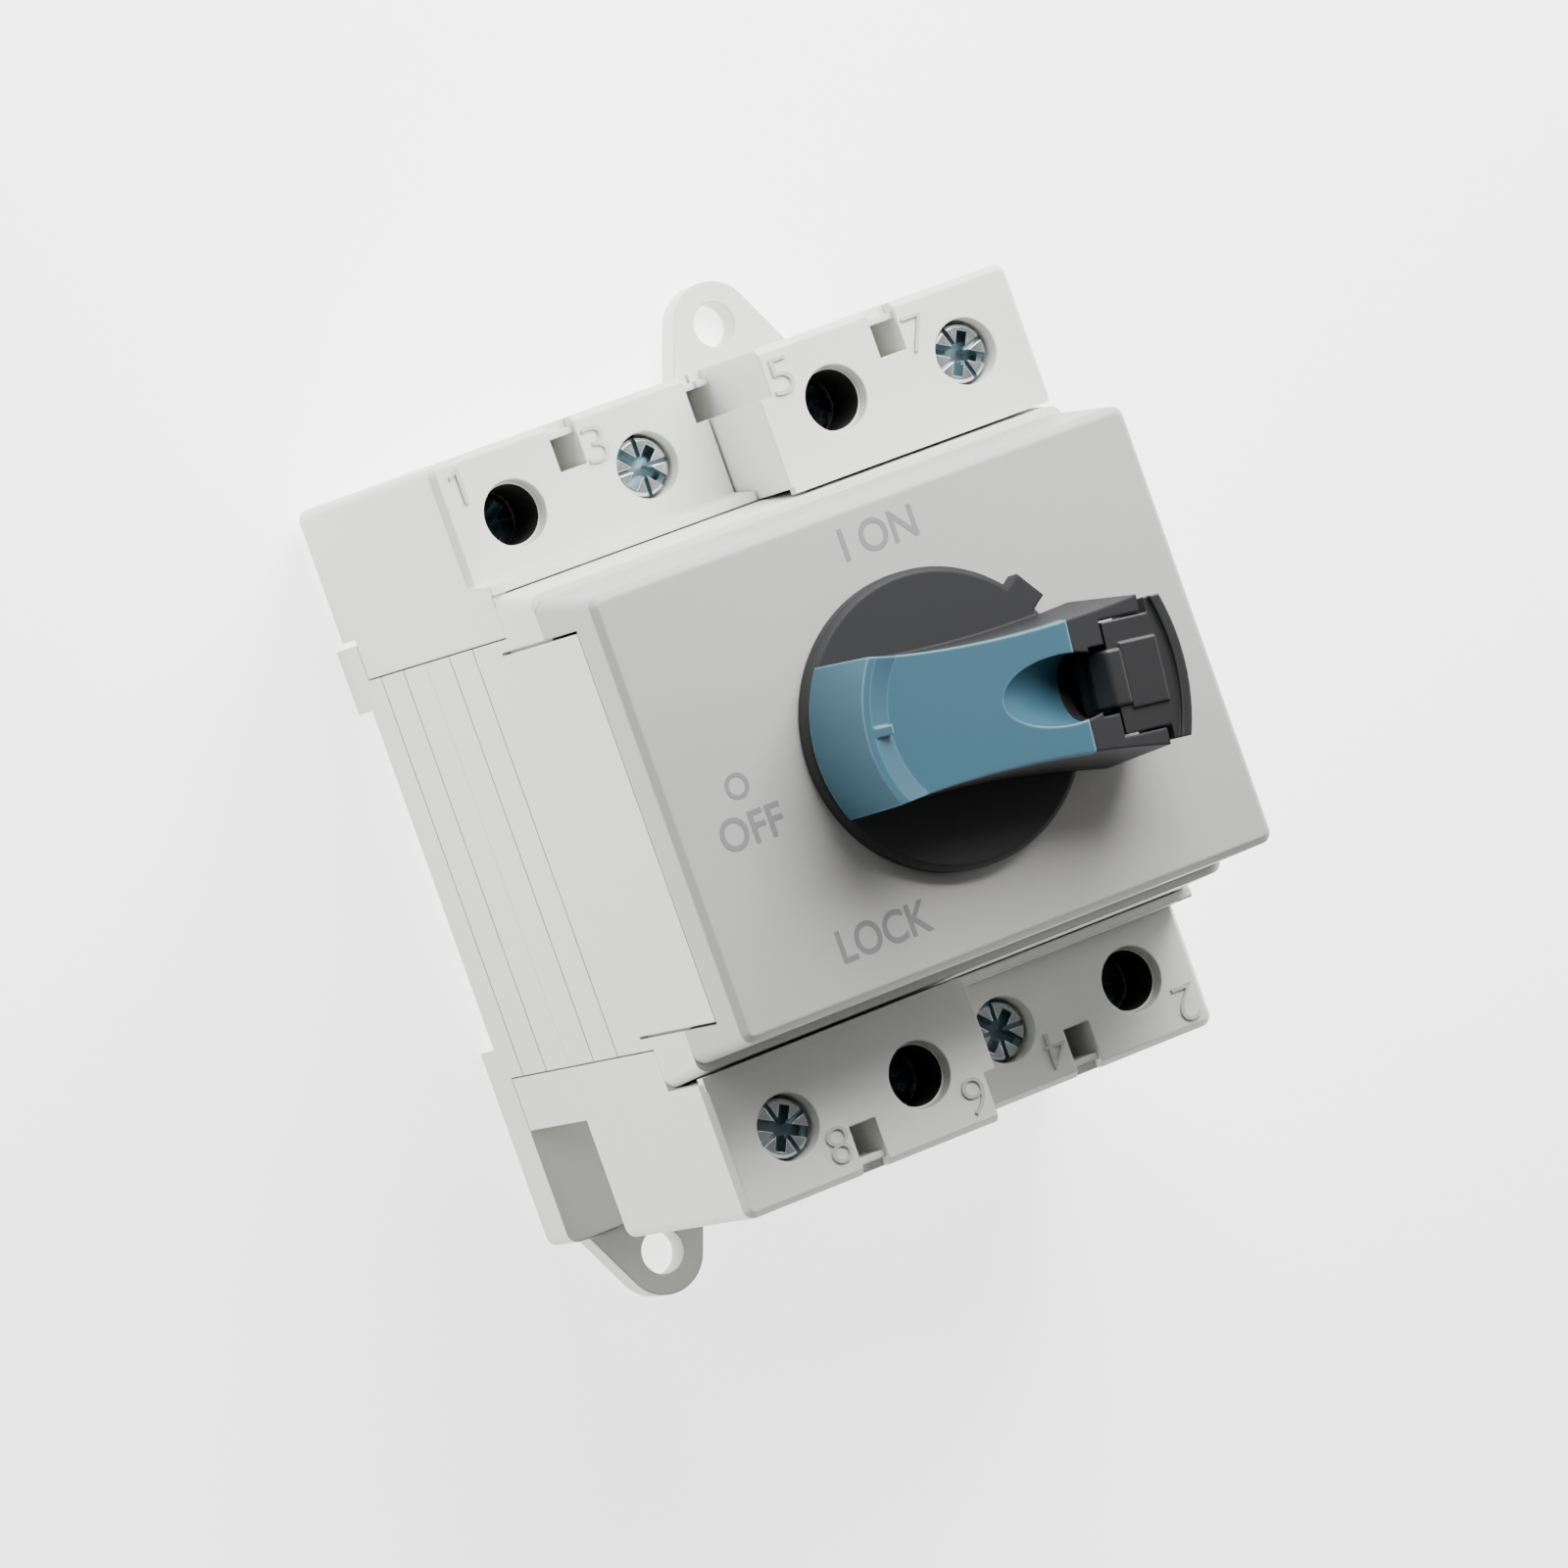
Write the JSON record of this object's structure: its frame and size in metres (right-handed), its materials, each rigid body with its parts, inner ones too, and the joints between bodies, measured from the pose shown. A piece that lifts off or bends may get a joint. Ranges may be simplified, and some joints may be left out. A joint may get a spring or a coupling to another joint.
{
  "type": "rotary switch disconnector",
  "caption": "Rail-mounted rotary switch disconnector with stepped screw terminals at both ends, a grey front and a low turning handle with a sliding lock tab.",
  "frame": {"origin": "middle of the rear face, on the plane of the feet", "axes": "+X to the right across the front, +Y up the front towards terminals 1, 3, 5 and 7, +Z from the rail out to the handle"},
  "size_m": [0.061, 0.0956, 0.0745],
  "materials": {
    "housing_white": "fine matt moulded polyamide",
    "terminal_white": "fine matt moulded polyamide",
    "front_grey": "fine spark-eroded texture",
    "handle_dark": "satin dark grey moulding",
    "cap_blue": "satin",
    "lock_tab_grey": "satin dark grey moulding",
    "contact_metal": "silver-plated contact strip",
    "zinc_steel": "zinc plated",
    "mechanism_steel": "oiled",
    "rotor_plastic": "glass-filled moulding"
  },
  "bodies": {
    "housing": {"base_plate": "housing_white", "pole_deck_1": "housing_white", "pole_deck_2": "housing_white", "pole_deck_3": "housing_white", "pole_deck_4": "housing_white", "mechanism_housing": "housing_white", "front_cover": "front_grey", "terminal_block_1_3": "terminal_white", "terminal_block_5_7": "terminal_white", "terminal_block_2_4": "terminal_white", "terminal_block_6_8": "terminal_white", "assembly_screws": "zinc_steel", "index_spring_left": "mechanism_steel", "index_spring_right": "mechanism_steel", "fixed_contact_1": "contact_metal", "fixed_contact_2": "contact_metal", "fixed_contact_3": "contact_metal", "fixed_contact_4": "contact_metal", "fixed_contact_5": "contact_metal", "fixed_contact_6": "contact_metal", "fixed_contact_7": "contact_metal", "fixed_contact_8": "contact_metal"},
    "handle": {"handle_grip": "handle_dark", "handle_cap": "cap_blue", "handle_screw": "zinc_steel", "drive_shaft": "mechanism_steel", "index_star": "rotor_plastic", "rotor_1": "rotor_plastic", "rotor_2": "rotor_plastic", "rotor_3": "rotor_plastic", "rotor_4": "rotor_plastic", "moving_contact_1": "contact_metal", "moving_contact_2": "contact_metal", "moving_contact_3": "contact_metal", "moving_contact_4": "contact_metal"},
    "lock_tab": {"lock_tab": "lock_tab_grey"},
    "rail_clip_top": {"rail_clip_top": "housing_white"},
    "rail_clip_bottom": {"rail_clip_bottom": "housing_white"},
    "index_roller_left": {"index_roller_left": "mechanism_steel"},
    "index_roller_right": {"index_roller_right": "mechanism_steel"},
    "terminal_screw_1": {"terminal_screw_1": "zinc_steel"},
    "clamp_cage_1": {"clamp_cage_1": "zinc_steel"},
    "terminal_screw_2": {"terminal_screw_2": "zinc_steel"},
    "clamp_cage_2": {"clamp_cage_2": "zinc_steel"},
    "terminal_screw_3": {"terminal_screw_3": "zinc_steel"},
    "clamp_cage_3": {"clamp_cage_3": "zinc_steel"},
    "terminal_screw_4": {"terminal_screw_4": "zinc_steel"},
    "clamp_cage_4": {"clamp_cage_4": "zinc_steel"},
    "terminal_screw_5": {"terminal_screw_5": "zinc_steel"},
    "clamp_cage_5": {"clamp_cage_5": "zinc_steel"},
    "terminal_screw_6": {"terminal_screw_6": "zinc_steel"},
    "clamp_cage_6": {"clamp_cage_6": "zinc_steel"},
    "terminal_screw_7": {"terminal_screw_7": "zinc_steel"},
    "clamp_cage_7": {"clamp_cage_7": "zinc_steel"},
    "terminal_screw_8": {"terminal_screw_8": "zinc_steel"},
    "clamp_cage_8": {"clamp_cage_8": "zinc_steel"}
  },
  "joints": [
    {"name": "handle_turn", "type": "hinge", "parent": "housing", "child": "handle", "pos_m": [0, 0, 0.0643], "axis": [0, 0, 1], "range_deg": [-83, 52]},
    {"name": "lock_tab_slide", "type": "slide", "parent": "handle", "child": "lock_tab", "axis": [0.9925, -0.1219, 0], "range_m": [0, 0.006]},
    {"name": "rail_clip_top_slide", "type": "slide", "parent": "housing", "child": "rail_clip_top", "axis": [0, 1, 0], "range_m": [0, 0.004]},
    {"name": "rail_clip_bottom_slide", "type": "slide", "parent": "housing", "child": "rail_clip_bottom", "axis": [0, -1, 0], "range_m": [0, 0.004]},
    {"name": "index_roller_right_roll", "type": "hinge", "parent": "housing", "child": "index_roller_right", "pos_m": [0.0126, 0, 0.042], "axis": [0, 0, 1], "range_deg": [-384, 612]},
    {"name": "index_roller_left_roll", "type": "hinge", "parent": "housing", "child": "index_roller_left", "pos_m": [-0.0126, 0, 0.042], "axis": [0, 0, 1], "range_deg": [-384, 612]},
    {"name": "terminal_screw_1_turn", "type": "hinge", "parent": "housing", "child": "terminal_screw_1", "pos_m": [-0.0232, 0.0324, 0.02606], "axis": [0, 0, 1], "range_deg": [-1749, 0]},
    {"name": "clamp_cage_1_lift", "type": "slide", "parent": "housing", "child": "clamp_cage_1", "axis": [0, 0, 1], "range_m": [0, 0.0034]},
    {"name": "terminal_screw_2_turn", "type": "hinge", "parent": "housing", "child": "terminal_screw_2", "pos_m": [0.0232, -0.0324, 0.02606], "axis": [0, 0, 1], "range_deg": [-1749, 0]},
    {"name": "clamp_cage_2_lift", "type": "slide", "parent": "housing", "child": "clamp_cage_2", "axis": [0, 0, 1], "range_m": [0, 0.0034]},
    {"name": "terminal_screw_3_turn", "type": "hinge", "parent": "housing", "child": "terminal_screw_3", "pos_m": [-0.00805, 0.0324, 0.03199], "axis": [0, 0, 1], "range_deg": [-1749, 0]},
    {"name": "clamp_cage_3_lift", "type": "slide", "parent": "housing", "child": "clamp_cage_3", "axis": [0, 0, 1], "range_m": [0, 0.0034]},
    {"name": "terminal_screw_4_turn", "type": "hinge", "parent": "housing", "child": "terminal_screw_4", "pos_m": [0.00805, -0.0324, 0.03199], "axis": [0, 0, 1], "range_deg": [-1749, 0]},
    {"name": "clamp_cage_4_lift", "type": "slide", "parent": "housing", "child": "clamp_cage_4", "axis": [0, 0, 1], "range_m": [0, 0.0034]},
    {"name": "terminal_screw_5_turn", "type": "hinge", "parent": "housing", "child": "terminal_screw_5", "pos_m": [0.00805, 0.0324, 0.03793], "axis": [0, 0, 1], "range_deg": [-1749, 0]},
    {"name": "clamp_cage_5_lift", "type": "slide", "parent": "housing", "child": "clamp_cage_5", "axis": [0, 0, 1], "range_m": [0, 0.0034]},
    {"name": "terminal_screw_6_turn", "type": "hinge", "parent": "housing", "child": "terminal_screw_6", "pos_m": [-0.00805, -0.0324, 0.03793], "axis": [0, 0, 1], "range_deg": [-1749, 0]},
    {"name": "clamp_cage_6_lift", "type": "slide", "parent": "housing", "child": "clamp_cage_6", "axis": [0, 0, 1], "range_m": [0, 0.0034]},
    {"name": "terminal_screw_7_turn", "type": "hinge", "parent": "housing", "child": "terminal_screw_7", "pos_m": [0.0232, 0.0324, 0.04385], "axis": [0, 0, 1], "range_deg": [-1749, 0]},
    {"name": "clamp_cage_7_lift", "type": "slide", "parent": "housing", "child": "clamp_cage_7", "axis": [0, 0, 1], "range_m": [0, 0.0034]},
    {"name": "terminal_screw_8_turn", "type": "hinge", "parent": "housing", "child": "terminal_screw_8", "pos_m": [-0.0232, -0.0324, 0.04385], "axis": [0, 0, 1], "range_deg": [-1749, 0]},
    {"name": "clamp_cage_8_lift", "type": "slide", "parent": "housing", "child": "clamp_cage_8", "axis": [0, 0, 1], "range_m": [0, 0.0034]}
  ],
  "couplings": [
    {"joint": "index_roller_right_roll", "follows": "handle_turn", "ratio": -7.3333},
    {"joint": "index_roller_left_roll", "follows": "handle_turn", "ratio": -7.3333},
    {"joint": "terminal_screw_1_turn", "follows": "clamp_cage_1_lift", "rad_per_m": -8976},
    {"joint": "terminal_screw_2_turn", "follows": "clamp_cage_2_lift", "rad_per_m": -8976},
    {"joint": "terminal_screw_3_turn", "follows": "clamp_cage_3_lift", "rad_per_m": -8976},
    {"joint": "terminal_screw_4_turn", "follows": "clamp_cage_4_lift", "rad_per_m": -8976},
    {"joint": "terminal_screw_5_turn", "follows": "clamp_cage_5_lift", "rad_per_m": -8976},
    {"joint": "terminal_screw_6_turn", "follows": "clamp_cage_6_lift", "rad_per_m": -8976},
    {"joint": "terminal_screw_7_turn", "follows": "clamp_cage_7_lift", "rad_per_m": -8976},
    {"joint": "terminal_screw_8_turn", "follows": "clamp_cage_8_lift", "rad_per_m": -8976}
  ]
}
